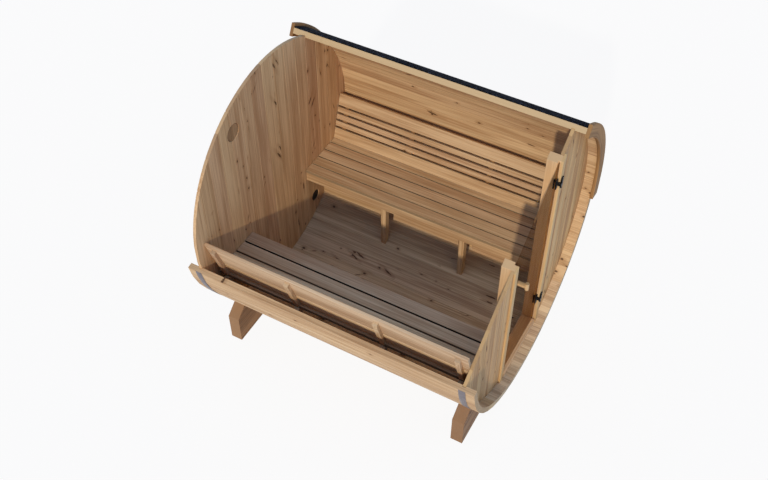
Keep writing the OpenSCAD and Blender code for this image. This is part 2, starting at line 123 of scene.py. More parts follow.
class SaunaFinishes(bpy.types.PropertyGroup):
    """Colours of the woods, metals, glass and felt."""

    stave_pale: colour("Stave, pale", "Earlywood of the staves", 210, 173, 130)
    stave_dark: colour("Stave, dark", "Latewood of the staves", 170, 129, 90)
    # Painted shade: the floor staves are staves like the others, given greyer, paler colours that stand for the
    # bluish shade on the floor.
    floor_pale: colour("Floor stave, pale", "Earlywood of the shaded staves", 219, 186, 147)
    floor_dark: colour("Floor stave, dark", "Latewood of the shaded staves", 171, 135, 102)
    wall_pale: colour("Back wall, pale", "Earlywood of the back wall's boards", 207, 165, 122)
    wall_dark: colour("Back wall, dark", "Latewood of the back wall's boards", 173, 129, 89)
    front_pale: colour("Front wall, pale", "Earlywood of the front wall's boards", 208, 165, 115)
    front_dark: colour("Front wall, dark", "Latewood of the front wall's boards", 166, 122, 79)
    # On the far battens this darker fascia colour is painted shade.
    fascia_pale: colour("Fascia, pale", "Earlywood of fascias and far battens", 158, 113, 71)
    fascia_dark: colour("Fascia, dark", "Latewood of fascias and far battens", 114, 78, 47)
    vent_pale: colour("Vent cover, pale", "Earlywood of the high vent's cover", 170, 129, 92)
    vent_dark: colour("Vent cover, dark", "Latewood of the high vent's cover", 122, 86, 57)
    jamb_pale: colour("Jamb, pale", "Earlywood of jambs and sill", 206, 165, 122)
    jamb_dark: colour("Jamb, dark", "Latewood of jambs and sill", 181, 137, 97)
    casing_pale: colour("Casing, pale", "Earlywood of casings and handle", 208, 170, 120)
    casing_dark: colour("Casing, dark", "Latewood of casings and handle", 180, 138, 92)
    slat_pale: colour("Slat, pale", "Earlywood of slats and backrests", 197, 163, 126)
    slat_dark: colour("Slat, dark", "Latewood of slats and backrests", 160, 122, 87)
    # Painted shade: the open side's bench wood is the far bench's wood, given greyer, paler colours for the
    # shade over the open side.
    open_pale: colour("Open side slat, pale", "Earlywood of the bench on the open side", 212, 178, 141)
    open_dark: colour("Open side slat, dark", "Latewood of the bench on the open side", 176, 138, 103)
    beam_pale: colour("Beam, pale", "Earlywood of the cradles", 160, 118, 84)
    beam_dark: colour("Beam, dark", "Latewood of the cradles", 114, 80, 54)
    knot: colour("Knot", "Heart of a knot", 66, 40, 26)
    glass: colour("Glass", "Tint of the door pane", 226, 209, 187)
    # The low vent cover's black is painted shade: a dark disc standing for the shade inside the vent.
    black_metal: colour("Black metal", "Painted hinges and low vent cover", 27, 27, 29)
    steel: colour("Steel", "Hoops", 124, 116, 122)
    felt: colour("Felt", "Bitumen between the granules", 9, 10, 15)
    granule: colour("Granule", "Mineral granules on the felt", 56, 58, 70)
    floor: colour("Floor", "Studio floor", 240, 240, 240)


def sizes():
    """The scene's sizes."""
    return bpy.context.scene.sauna_sizes


def finishes():
    """The scene's finishes."""
    return bpy.context.scene.sauna_finishes


# Shader helpers


class Tree:
    """Adds and joins nodes in a node tree."""

    def __init__(self, tree):
        self.tree = tree

    def node(self, kind, **settings):
        """Adds a shader node with its settings."""
        made = self.tree.nodes.new("ShaderNode" + kind)
        for key, value in settings.items():
            setattr(made, key, value)
        return made

    def join(self, out, into):
        """Joins two sockets."""
        self.tree.links.new(out, into)

    def feed(self, into, value):
        """Joins a socket, or sets a plain value."""
        if isinstance(value, bpy.types.NodeSocket):
            self.join(value, into)
        else:
            into.default_value = value

    def math(self, operation, *values):
        """Works out a value from numbers or sockets."""
        made = self.node("Math", operation=operation)
        for into, value in zip(made.inputs, values):
            self.feed(into, value)
        return made.outputs[0]

    def scaled(self, vector, factors):
        """Multiplies a vector by three factors."""
        made = self.node("VectorMath", operation="MULTIPLY")
        self.feed(made.inputs[0], vector)
        made.inputs[1].default_value = factors
        return made.outputs[0]

    def noise(self, vector, scale, detail=3.0, roughness=0.55, distortion=0.0):
        """Soft noise from 0 to 1."""
        made = self.node("TexNoise")
        self.feed(made.inputs["Vector"], vector)
        made.inputs["Scale"].default_value = scale
        made.inputs["Detail"].default_value = detail
        made.inputs["Roughness"].default_value = roughness
        made.inputs["Distortion"].default_value = distortion
        return made.outputs[0]

    def ramp(self, value, low, high, to_low=0.0, to_high=1.0):
        """Eases a value from one range to another."""
        made = self.node("MapRange", interpolation_type="SMOOTHSTEP")
        for name, given in (
            ("Value", value), ("From Min", low), ("From Max", high), ("To Min", to_low), ("To Max", to_high),
        ):
            self.feed(made.inputs[name], given)
        return made.outputs[0]

    def mix(self, factor, first, second):
        """Mixes two colours."""
        made = self.node("Mix", data_type="RGBA")
        self.feed(made.inputs["Factor"], factor)
        self.feed(made.inputs["A"], first)
        self.feed(made.inputs["B"], second)
        return made.outputs["Result"]


def opaque(rgb):
    """A colour with full alpha, for a socket."""
    return (*rgb, 1.0)


def new_group(name, inputs, outputs):
    """An empty shader node group with named sockets, and its input and output nodes."""
    group = bpy.data.node_groups.new(name, "ShaderNodeTree")
    for socket, kind, default in inputs:
        made = group.interface.new_socket(socket, in_out="INPUT", socket_type="NodeSocket" + kind)
        if default is not None:
            made.default_value = default
    for socket, kind in outputs:
        group.interface.new_socket(socket, in_out="OUTPUT", socket_type="NodeSocket" + kind)
    tree = Tree(group)
    return group, tree, group.nodes.new("NodeGroupInput").outputs, group.nodes.new("NodeGroupOutput").inputs


# Figure of planed wood: how fine its three noises are along and across the grain, and the share of each.
BROAD, BROAD_SHARE = (0.7, 7, 7), 0.32
STREAKS, STREAK_SHARE = (1.0, 48, 48), 0.29
FINE, FINE_SHARE = (2.2, 150, 150), 0.39
FIGURE_LOW, FIGURE_HIGH = 0.40, 0.60
FINE_GLOSS, LEAST_ROUGH = 0.22, 0.46
HUE_REST, HUE_SPREAD = 0.5, 0.004

# Sawn faces: the share of figure that is left on them, and how much darker and more mixed they are. The same
# darkening paints shade on the sawn faces of staves and slats.
SAWN_FIGURE = 0.15
SAWN_AND_PAINTED_DARKENING = 0.28
SAWN_SPREAD = 0.10

# Knots: cells a metre along and across the grain, the chance of one in a cell, their size and strength.
SPECKS, SPECK_CHANCE = (9.0, 14.0, 0.0), 0.34
SPIKES, SPIKE_CHANCE = (2.8, 17.0, 0.0), 0.36
SPIKE_TURN = math.radians(42)
CROWDS, CROWD_LOW, CROWD_HIGH = (0.9, 2.2, 2.2), 0.46, 0.66
WANDER, RAGGED = (30, 70, 70), (0.22, 0.22, 0)
KNOT_LEAST, KNOT_SPREAD = 0.05, 0.11
HEART_STRENGTH, HALO_STRENGTH, HEART_DENT = 0.85, 0.45, 0.4


def knot_marks(tree, grain, turn, scales, chance):
    """Dark hearts and soft halos of scattered knots, drawn out along a line that is turned from the grain."""
    turned = tree.node("VectorRotate", rotation_type="Z_AXIS")
    tree.join(grain, turned.inputs["Vector"])
    tree.feed(turned.inputs["Angle"], turn)
    wander = tree.noise(tree.scaled(grain, WANDER), 1.0, detail=3)
    ragged = tree.node("VectorMath", operation="MULTIPLY_ADD")
    tree.join(wander, ragged.inputs[0])
    ragged.inputs[1].default_value = RAGGED
    tree.join(tree.scaled(turned.outputs[0], scales), ragged.inputs[2])
    cells = tree.node("TexVoronoi", feature="F1", voronoi_dimensions="2D")
    tree.join(ragged.outputs[0], cells.inputs["Vector"])
    cells.inputs["Scale"].default_value = 1.0
    dice = tree.node("SeparateColor")
    tree.join(cells.outputs["Color"], dice.inputs[0])
    here = tree.math("LESS_THAN", dice.outputs["Red"], chance)
    size = tree.math("MULTIPLY_ADD", dice.outputs["Green"], KNOT_SPREAD, KNOT_LEAST)
    reach = tree.math("DIVIDE", cells.outputs["Distance"], size)
    heart = tree.math("MULTIPLY", here, tree.ramp(reach, 1.0, 0.5))
    halo = tree.math("MULTIPLY", here, tree.ramp(reach, 3.0, 0.9))
    return heart, halo


def board_grain_group():
    """Wood figure: broad patches, soft streaks and knots along each board's own grain, calm and darker on sawn
    ends, with painted shade on the sawn faces of staves and slats.
    """
    name = "Board grain"
    if name in bpy.data.node_groups:
        return bpy.data.node_groups[name]
    group, tree, given, out = new_group(
        name,
        [
            ("Grain", "Vector", None), ("Tone", "Float", 0.0), ("End", "Float", 0.0), ("Pale", "Color", None),
            ("Dark", "Color", None), ("Knot", "Color", None), ("Knots", "Float", 0.3), ("Figure", "Float", 1.0),
            ("Variety", "Float", 0.12),
        ],
        [("Color", "Color"), ("Roughness", "Float"), ("Height", "Float")],
    )
    grain = given["Grain"]
    broad = tree.noise(tree.scaled(grain, BROAD), 1.0, detail=2)
    streaks = tree.noise(tree.scaled(grain, STREAKS), 1.0, detail=3, roughness=0.6, distortion=0.4)
    fine = tree.noise(tree.scaled(grain, FINE), 1.0, detail=4, roughness=0.6)
    figure = tree.math("MULTIPLY", broad, BROAD_SHARE)
    figure = tree.math("ADD", figure, tree.math("MULTIPLY", streaks, STREAK_SHARE))
    figure = tree.math("ADD", figure, tree.math("MULTIPLY", fine, FINE_SHARE))
    planed = tree.ramp(given["End"], 0.0, 1.0, 1.0, SAWN_FIGURE)
    dark = tree.ramp(figure, FIGURE_LOW, FIGURE_HIGH)
    dark = tree.math("MULTIPLY", dark, tree.math("MULTIPLY", given["Figure"], planed))

    crowded = tree.ramp(tree.noise(tree.scaled(grain, CROWDS), 1.0, detail=1), CROWD_LOW, CROWD_HIGH)
    chance = tree.math("MULTIPLY", given["Knots"], tree.math("MULTIPLY", crowded, planed))
    specks, speck_halo = knot_marks(tree, grain, 0.0, SPECKS, tree.math("MULTIPLY", chance, SPECK_CHANCE))
    turn = tree.math("MULTIPLY", given["Tone"], SPIKE_TURN)
    spikes, spike_halo = knot_marks(tree, grain, turn, SPIKES, tree.math("MULTIPLY", chance, SPIKE_CHANCE))
    heart = tree.math("MAXIMUM", specks, spikes)
    halo = tree.math("MAXIMUM", speck_halo, spike_halo)

    dark = tree.math("ADD", dark, tree.math("MULTIPLY", halo, HALO_STRENGTH))
    dark = tree.math("MINIMUM", dark, 1.0)
    wood = tree.mix(dark, given["Pale"], given["Dark"])
    wood = tree.mix(tree.math("MULTIPLY", heart, HEART_STRENGTH), wood, given["Knot"])
    toned = tree.node("HueSaturation")
    tree.join(wood, toned.inputs["Color"])
    spread = tree.math("MULTIPLY_ADD", given["End"], SAWN_SPREAD, given["Variety"])
    # Painted shade: the sawn value darkens end grain, and darkens further the cut faces of staves and the sides
    # of slats in the gaps between them.
    shade = tree.math("MULTIPLY_ADD", given["End"], -SAWN_AND_PAINTED_DARKENING, 1.0)
    tree.join(tree.math("MULTIPLY_ADD", given["Tone"], spread, shade), toned.inputs["Value"])
    tree.join(tree.math("MULTIPLY_ADD", given["Tone"], HUE_SPREAD, HUE_REST), toned.inputs["Hue"])
    tree.join(toned.outputs[0], out["Color"])
    tree.join(tree.math("MULTIPLY_ADD", fine, FINE_GLOSS, LEAST_ROUGH), out["Roughness"])
    tree.join(tree.math("SUBTRACT", fine, tree.math("MULTIPLY", heart, HEART_DENT)), out["Height"])
    return group


def worn_edge_group():
    """Handled edges: rounded arrises go paler and smoother in patches."""
    name = "Worn edge"
    if name in bpy.data.node_groups:
        return bpy.data.node_groups[name]
    group, tree, given, out = new_group(
        name,
        [("Color", "Color", None), ("Edge", "Float", 0.0), ("Grain", "Vector", None), ("Wear", "Float", 0.3),
         ("Worn", "Color", None)],
        [("Color", "Color")],
    )
    patches = tree.ramp(tree.noise(given["Grain"], 14, detail=3), 0.35, 0.6)
    amount = tree.math("MULTIPLY", tree.math("MULTIPLY", given["Edge"], patches), given["Wear"])
    tree.join(tree.mix(amount, given["Color"], given["Worn"]), out["Color"])
    return group


def dust_group():
    """Settled dust: a thin pale veil on faces that look up."""
    name = "Settled dust"
    if name in bpy.data.node_groups:
        return bpy.data.node_groups[name]
    group, tree, given, out = new_group(
        name,
        [("Color", "Color", None), ("Coordinates", "Vector", None), ("Amount", "Float", 0.1),
         ("Dust", "Color", opaque(DUST_COLOUR))],
        [("Color", "Color")],
    )
    upward = tree.node("SeparateXYZ")
    tree.join(tree.node("NewGeometry").outputs["Normal"], upward.inputs[0])
    veil = tree.ramp(upward.outputs["Z"], 0.2, 0.95)
    veil = tree.math("MULTIPLY", veil, tree.ramp(tree.noise(given["Coordinates"], 5, detail=5), 0.35, 0.7))
    veil = tree.math("MULTIPLY", veil, given["Amount"])
    tree.join(tree.mix(veil, given["Color"], given["Dust"]), out["Color"])
    return group


WOOD_WEAR = 0.12
WOOD_WORN_LIFT = 1.12
WOOD_SHEEN = 0.08
WOOD_BUMP = (0.25, 0.0015)
GLASS_IOR = 1.006
GLASS_SMEARED = 0.92
METAL_GRIT = 900
METAL_WEAR, METAL_DUST = 0.7, 0.12
STEEL_ROLLED = (420, 6, 6)
STEEL_DULL = 0.72
STEEL_WEAR, STEEL_DUST = 0.6, 0.1
COAT_BUMP, ROLLED_BUMP = (0.12, 0.0004), (0.08, 0.0004)
GRANULES = 150
FELT_SHEEN, FELT_DUST = 0.02, 0.02
FELT_BUMP = (0.5, 0.003)
DUST_COLOUR = linear(176, 168, 158)
WORN_BLACK = linear(120, 118, 120)
WORN_STEEL = linear(176, 172, 176)


def new_material(name):
    """An empty material with its shader, and helpers to join nodes."""
    material = bpy.data.materials.new(name)
    material.use_nodes = True
    tree = Tree(material.node_tree)
    return material, tree, material.node_tree.nodes["Principled BSDF"]


def attribute(tree, name):
    """Reads a value that was laid on the mesh."""
    return tree.node("Attribute", attribute_name=name, attribute_type="GEOMETRY").outputs


def placed_group(tree, group, **values):
    """Places a node group and sets or joins its inputs, which are named in words."""
    made = tree.node("Group", node_tree=group)
    for key, value in values.items():
        tree.feed(made.inputs[key.replace("_", " ")], value)
    return made.outputs


def bumped(tree, shader, height, strength, distance):
    """Gives a shader a bump."""
    bump = tree.node("Bump")
    bump.inputs["Strength"].default_value = strength
    bump.inputs["Distance"].default_value = distance
    tree.join(height, bump.inputs["Height"])
    tree.join(bump.outputs[0], shader.inputs["Normal"])


def wood(name, pale, dark, knots, variety, figure=1.0, dust=0.0):
    """A planed wood whose figure follows each board."""
    if name in bpy.data.materials:
        return bpy.data.materials[name]
    material, tree, shader = new_material(name)
    grain = attribute(tree, "grain")["Vector"]
    figure_out = placed_group(
        tree, board_grain_group(), Grain=grain, Tone=attribute(tree, "tone")["Fac"],
        End=attribute(tree, "end")["Fac"], Pale=opaque(pale), Dark=opaque(dark), Knot=opaque(finishes().knot),
        Knots=knots, Figure=figure, Variety=variety,
    )
    worn = placed_group(
        tree, worn_edge_group(), Color=figure_out["Color"], Edge=attribute(tree, "arris")["Fac"], Grain=grain,
        Wear=WOOD_WEAR, Worn=opaque([min(1.0, WOOD_WORN_LIFT * c) for c in pale]),
    )
    tinted = worn["Color"]
    if dust:
        tinted = placed_group(tree, dust_group(), Color=tinted, Coordinates=grain, Amount=dust)["Color"]
    tree.join(tinted, shader.inputs["Base Color"])
    tree.join(figure_out["Roughness"], shader.inputs["Roughness"])
    shader.inputs["Specular IOR Level"].default_value = WOOD_SHEEN
    bumped(tree, shader, figure_out["Height"], *WOOD_BUMP)
    return material


def stave_wood():
    """Staves of the far side and the roof, with some knots."""
    f = finishes()
    return wood("Stave wood", f.stave_pale, f.stave_dark, 0.9, variety=0.06)


def open_stave_wood():
    """Staves of the open side, with few knots."""
    f = finishes()
    return wood("Open side stave wood", f.stave_pale, f.stave_dark, 0.3, variety=0.06)


def floor_wood_in_painted_shade():
    """Staves under the feet, with many knots, in their own greyer, paler stave colours: painted shade colour
    for the bluish shade on the floor.
    """
    f = finishes()
    return wood("Floor wood", f.floor_pale, f.floor_dark, 1.3, variety=0.08)


def wall_wood():
    """Knotty boards of the back wall."""
    f = finishes()
    return wood("Back wall wood", f.wall_pale, f.wall_dark, 1.5, variety=0.05)


def front_wood():
    """Boards of the front wall."""
    f = finishes()
    return wood("Front wall wood", f.front_pale, f.front_dark, 0.7, variety=0.06)


def fascia_wood():
    """Darker wood of the fascias, and of the battens behind the far backrest, where its darkness is painted
    shade.
    """
    f = finishes()
    return wood("Fascia wood", f.fascia_pale, f.fascia_dark, 0.2, variety=0.06)


def vent_wood():
    """Cover and plug of the high vent."""
    f = finishes()
    return wood("Vent cover wood", f.vent_pale, f.vent_dark, 0.2, variety=0.06)


def jamb_wood():
    """Calm wood of the jambs and the sill."""
    f = finishes()
    return wood("Jamb wood", f.jamb_pale, f.jamb_dark, 0.05, figure=0.8, variety=0.05)


def casing_wood():
    """Pale calm wood of the casing strips and the handle."""
    f = finishes()
    return wood("Casing wood", f.casing_pale, f.casing_dark, 0.05, figure=0.8, variety=0.05)


def slat_wood():
    """Clear wood of the bench and backrest under the roof."""
    f = finishes()
    return wood("Slat wood", f.slat_pale, f.slat_dark, 0.03, variety=0.06)


def open_slat_wood_in_painted_shade():
    """Clear wood of the bench and backrest on the open side, in a greyer, paler copy of the slat colours:
    painted shade colour for the shade over this bench.
    """
    f = finishes()
    return wood("Open side slat wood", f.open_pale, f.open_dark, 0.03, variety=0.06)


def beam_wood():
    """Dusty wood of the cradles."""
    f = finishes()
    return wood("Beam wood", f.beam_pale, f.beam_dark, 0.16, variety=0.06, dust=0.08)


def glass_material():
    """Bronze glass, slightly smeared."""
    name = "Bronze glass"
    if name in bpy.data.materials:
        return bpy.data.materials[name]
    material, tree, shader = new_material(name)
    coordinates = tree.node("TexCoord").outputs["Object"]
    smears = tree.noise(coordinates, 7, detail=4, distortion=0.6)
    tint = finishes().glass
    tree.join(
        tree.mix(tree.ramp(smears, 0.3, 0.8), opaque(tint), opaque([GLASS_SMEARED * c for c in tint])),
        shader.inputs["Base Color"],
    )
    tree.join(tree.ramp(smears, 0.45, 0.8, 0.02, 0.08), shader.inputs["Roughness"])
    shader.inputs["Transmission Weight"].default_value = 1.0
    shader.inputs["IOR"].default_value = GLASS_IOR
    return material


def black_metal():
    """Powder-coated black metal."""
    name = "Black metal"
    if name in bpy.data.materials:
        return bpy.data.materials[name]
    material, tree, shader = new_material(name)
    coordinates = tree.node("TexCoord").outputs["Object"]
    grit = tree.noise(coordinates, METAL_GRIT, detail=2)
    worn = placed_group(
        tree, worn_edge_group(), Color=opaque(finishes().black_metal), Edge=attribute(tree, "arris")["Fac"],
        Grain=coordinates, Wear=METAL_WEAR, Worn=opaque(WORN_BLACK),
    )
    dusted = placed_group(tree, dust_group(), Color=worn["Color"], Coordinates=coordinates, Amount=METAL_DUST)
    tree.join(dusted["Color"], shader.inputs["Base Color"])
    tree.join(tree.ramp(grit, 0.3, 0.7, 0.32, 0.48), shader.inputs["Roughness"])
    shader.inputs["Metallic"].default_value = 0.6
    bumped(tree, shader, grit, *COAT_BUMP)
    return material


def hoop_steel():
    """Galvanized strap steel, rolled round the barrel."""
    name = "Hoop steel"
    if name in bpy.data.materials:
        return bpy.data.materials[name]
    material, tree, shader = new_material(name)
    coordinates = tree.node("TexCoord").outputs["Object"]
    rolled = tree.noise(tree.scaled(coordinates, STEEL_ROLLED), 1.0, detail=3)
    spangle = tree.noise(coordinates, 38, detail=4, roughness=0.7)
    steel = finishes().steel
    tinted = tree.mix(tree.ramp(spangle, 0.35, 0.7), opaque(steel), opaque([STEEL_DULL * c for c in steel]))
    worn = placed_group(
        tree, worn_edge_group(), Color=tinted, Edge=attribute(tree, "arris")["Fac"], Grain=coordinates,
        Wear=STEEL_WEAR, Worn=opaque(WORN_STEEL),
    )
    dusted = placed_group(tree, dust_group(), Color=worn["Color"], Coordinates=coordinates, Amount=STEEL_DUST)
    tree.join(dusted["Color"], shader.inputs["Base Color"])
    tree.join(tree.ramp(rolled, 0.3, 0.7, 0.34, 0.5), shader.inputs["Roughness"])
    shader.inputs["Metallic"].default_value = 0.85
    bumped(tree, shader, rolled, *ROLLED_BUMP)
    return material


def felt_material():
    """Roof felt: mineral granules on bitumen."""
    name = "Granulated felt"
    if name in bpy.data.materials:
        return bpy.data.materials[name]
    material, tree, shader = new_material(name)
    coordinates = tree.node("TexCoord").outputs["Object"]
    granules = tree.node("TexVoronoi", feature="F1", voronoi_dimensions="3D")
    tree.join(coordinates, granules.inputs["Vector"])
    granules.inputs["Scale"].default_value = GRANULES
    pick = tree.node("SeparateColor")
    tree.join(granules.outputs["Color"], pick.inputs[0])
    clouds = tree.noise(coordinates, 6, detail=4)
    bright = tree.ramp(pick.outputs["Red"], 0.6, 1.0)
    bright = tree.math("MULTIPLY", bright, tree.ramp(clouds, 0.2, 0.8, 0.5, 1.0))
    speckled = tree.mix(bright, opaque(finishes().felt), opaque(finishes().granule))
    dusted = placed_group(tree, dust_group(), Color=speckled, Coordinates=coordinates, Amount=FELT_DUST)
    tree.join(dusted["Color"], shader.inputs["Base Color"])
    tree.join(tree.ramp(pick.outputs["Green"], 0, 1, 0.75, 0.95), shader.inputs["Roughness"])
    shader.inputs["Specular IOR Level"].default_value = FELT_SHEEN
    bumped(tree, shader, tree.math("SUBTRACT", 1.0, granules.outputs["Distance"]), *FELT_BUMP)
    return material


# Meshes

# Angles between faces: flat ones are joined, sharp ones are rounded, and creased ones stay hard in the shading.
FLAT = math.radians(0.4)
SHARP = math.radians(25)
CREASE = math.radians(48)
WELD = 1e-5

# A face is wide enough for a rounded edge if it is this many radii wide.
EDGE_ROOM = 2.6
EDGE_STEPS = 2

# A face counts as sawn if its normal lies this much along a cut. Sawn faces of staves and slats are darker
# still: painted shade on the staves' cut faces and in the gaps between slats.
END_SLOPE = 0.6
PAINTED_SHADE_SIDES = {"STAVE": 1.5, "SLAT": 2.4}

# Each board's grain starts at its own place, up to this far away.
GRAIN_SHIFT = 40
TONE_SEED = 7


def face_width(face):
    """Rough width of a face: its area over its longest edge."""
    return face.calc_area() / max(edge.calc_length() for edge in face.edges)


def cleaned(node):
    """The node's mesh, welded, with the triangles of each flat face joined."""
    mesh = bmesh.new()
    mesh.from_mesh(frame["nodes"][node].data)
    bmesh.ops.remove_doubles(mesh, verts=mesh.verts, dist=WELD)
    bmesh.ops.dissolve_limit(mesh, angle_limit=FLAT, verts=mesh.verts, edges=mesh.edges)
    return mesh


def rounded(mesh, radius):
    """Rounds the sharp edges between faces that are wide enough, and returns the new faces."""
    edges = [
        edge for edge in mesh.edges
        if len(edge.link_faces) == 2
        and edge.calc_face_angle(0) > SHARP
        and min(face_width(face) for face in edge.link_faces) > EDGE_ROOM * radius
    ]
    if not edges:
        return set()
    made = bmesh.ops.bevel(
        mesh, geom=edges, offset=radius, offset_type="OFFSET", segments=EDGE_STEPS, profile=0.5, affect="EDGES",
        clamp_overlap=True,
    )
    return set(made["faces"])


def smooth_curves(mesh, soft):
    """Shades the rounded and curved faces smooth, and leaves the planed faces flat."""
    for face in mesh.faces:
        bends = [
            edge.calc_face_angle(0) for edge in face.edges
            if len(edge.link_faces) == 2 and not soft.intersection(edge.link_faces)
        ]
        face.smooth = face in soft or any(FLAT < bend < SHARP for bend in bends)
    for edge in mesh.edges:
        if len(edge.link_faces) == 2 and edge.calc_face_angle(0) > CREASE:
            edge.smooth = False


def loose_pieces(mesh):
    """Lists of vertex numbers, one list for each separate board."""
    mesh.verts.index_update()
    seen, pieces = set(), []
    for start in mesh.verts:
        if start.index in seen:
            continue
        seen.add(start.index)
        piece, queue = [], [start]
        while queue:
            vert = queue.pop()
            piece.append(vert.index)
            for edge in vert.link_edges:
                other = edge.other_vert(vert)
                if other.index not in seen:
                    seen.add(other.index)
                    queue.append(other)
        pieces.append(piece)
    return pieces


def board_frame(points, along):
    """Places of a board's points along its grain, across its face and through its thickness."""
    grain = np.array(along)
    centred = points - points.mean(0)
    run = centred @ grain
    section = centred - np.outer(run, grain)
    values, axes = np.linalg.eigh(section.T @ section)
    across = axes[:, int(np.argmax(values))]
    through = np.cross(grain, across)
    return np.stack([run, section @ across, section @ through], axis=1)


def ring_frame(points):
    """Places round the barrel: along the arc, across the ring and along the barrel."""
    y, z = points[:, 1] - AXIS_Y, points[:, 2] - AXIS_Z
    radius = np.hypot(y, z)
    return np.stack([np.arctan2(z, y) * radius.mean(), radius, points[:, 0]], axis=1)


def laid_grain(mesh, points, along, seed):
    """Grain coordinates and a tone for each board, shifted so that no two boards match."""
    dice = random.Random(seed)
    grain = np.zeros((len(points), 3))
    tone = np.zeros(len(points))
    for piece in loose_pieces(mesh):
        local = ring_frame(points[piece]) if along == "RING" else board_frame(points[piece], ALONG[along])
        grain[piece] = local + [dice.uniform(0, GRAIN_SHIFT) for _ in range(3)]
        tone[piece] = dice.uniform(-1, 1)
    return grain, tone


def sawn_end(face, along):
    """How dark a face is painted: 1 for sawn end grain; 1.5 for the ends and narrow sides of staves and 2.4 for
    those of slats, which is painted shade on the staves' cut faces and in the gaps between slats; else 0.
    """
    centre = face.calc_center_median()
    tangent = Vector((0, AXIS_Z - centre.z, centre.y - AXIS_Y)).normalized()
    sawn = [] if along == "RING" else [ALONG[along]]
    if along in ("RING", "STAVE"):
        sawn.append(tangent)
    if along == "SLAT":
        sawn.append(Y)
    if all(abs(face.normal.dot(cut)) < END_SLOPE for cut in sawn):
        return 0.0
    return PAINTED_SHADE_SIDES.get(along, 1.0)


def dressed(node, material, along, radius):
    """Builds the rounded copy that stands for a CAD node, with its grain laid on."""
    mesh = cleaned(node)
    soft = rounded(mesh, radius)
    smooth_curves(mesh, soft)
    mesh.verts.ensure_lookup_table()
    mesh.faces.ensure_lookup_table()
    points = np.array([vert.co for vert in mesh.verts])
    grain, tone = laid_grain(mesh, points, along, f"{TONE_SEED} {node}")
    arris = [1.0 if face in soft else 0.0 for face in mesh.faces]
    end = [sawn_end(face, along) for face in mesh.faces]
    data = bpy.data.meshes.new(node + "_dressed")
    mesh.to_mesh(data)
    mesh.free()
    laid = data.attributes.new("grain", "FLOAT_VECTOR", "POINT")
    laid.data.foreach_set("vector", grain.astype(np.float32).ravel())
    for name, domain, values in (("tone", "POINT", tone), ("arris", "FACE", arris), ("end", "FACE", end)):
        laid = data.attributes.new(name, "FLOAT", domain)
        laid.data.foreach_set("value", np.array(values, np.float32))
    data.materials.append(material)
    piece = bpy.data.objects.new(node + "_dressed", data)
    bpy.context.scene.collection.objects.link(piece)
    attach(piece, frame["nodes"][node]["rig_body"])
    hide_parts(node)


# Operators

SIDES = {"open": open_slat_wood_in_painted_shade, "roof": slat_wood}


class SAUNA_OT_staves(bpy.types.Operator):
    """Rounds the staves and gives each its own grain"""

    bl_idname = "sauna.staves"
    bl_label = "Staves"

    def execute(self, context):
        dressed("floor_staves", floor_wood_in_painted_shade(), "STAVE", sizes().stave_edge)
        dressed("open_side_staves", open_stave_wood(), "X", sizes().stave_edge)
        for node in ("roof_side_staves", "roof_staves"):
            dressed(node, stave_wood(), "STAVE", sizes().stave_edge)
        return {"FINISHED"}


class SAUNA_OT_walls(bpy.types.Operator):
    """Dresses the boards of both end walls and the vent covers"""

    bl_idname = "sauna.walls"
    bl_label = "End walls"

    def execute(self, context):
        dressed("back_wall", wall_wood(), "Z", sizes().board_edge)
        dressed("high_vent_cover", vent_wood(), "Z", sizes().board_edge)
        for node in ("front_wall_open_side", "front_wall_roof_side"):
            dressed(node, front_wood(), "Z", sizes().board_edge)
        dressed("front_wall_under_sill", front_wood(), "Y", sizes().board_edge)
        # Painted shade: the low vent's cover is dressed in black metal, a dark disc standing for the shade
        # inside the vent.
        dressed("low_vent_cover", black_metal(), "Z", sizes().board_edge)
        return {"FINISHED"}


class SAUNA_OT_doorway(bpy.types.Operator):
    """Dresses the jambs, the casing strips and the sill"""

    bl_idname = "sauna.doorway"
    bl_label = "Doorway"

    def execute(self, context):
        for node in ("latch_jamb", "hinge_jamb"):
            dressed(node, jamb_wood(), "Z", sizes().board_edge)
        dressed("door_casings", casing_wood(), "Z", sizes().board_edge)
        dressed("door_sill", jamb_wood(), "Y", sizes().board_edge)
        return {"FINISHED"}


class SAUNA_OT_door(bpy.types.Operator):
    """Dresses the glass pane, its hinges and its handle"""

    bl_idname = "sauna.door"
    bl_label = "Glass door"

    def execute(self, context):
        dressed("glass_pane", glass_material(), "Z", sizes().glass_edge)
        dressed("door_handle", casing_wood(), "Z", sizes().handle_edge)
        for node in ("hinge_clamps", "hinge_plates"):
            dressed(node, black_metal(), "Z", sizes().metal_edge)
        return {"FINISHED"}


class SAUNA_OT_benches(bpy.types.Operator):
    """Dresses the seats, aprons, skirts, bearers and legs of both benches"""

    bl_idname = "sauna.benches"
    bl_label = "Benches"

    def execute(self, context):
        for side, wood_of in SIDES.items():
            dressed(f"{side}_bench_slats", wood_of(), "SLAT", sizes().slat_edge)
            for part in ("apron", "skirts"):
                dressed(f"{side}_bench_{part}", wood_of(), "X", sizes().slat_edge)
            dressed(f"{side}_bench_bearers", wood_of(), "Y", sizes().beam_edge)
            dressed(f"{side}_bench_legs", wood_of(), "Z", sizes().beam_edge)
        return {"FINISHED"}


class SAUNA_OT_backrests(bpy.types.Operator):
    """Dresses the boards and battens of both backrests"""

    bl_idname = "sauna.backrests"
    bl_label = "Backrests"

    def execute(self, context):
        for side, wood_of in SIDES.items():
            dressed(f"{side}_backrest_boards", wood_of(), "X", sizes().slat_edge)
            # The far backrest's battens take the darker fascia wood as painted shade; the near ones keep the
            # bench wood.
            batten_wood_for_painted_shade = fascia_wood() if side == "roof" else wood_of()
            dressed(f"{side}_backrest_battens", batten_wood_for_painted_shade, "Z", sizes().slat_edge)
        return {"FINISHED"}


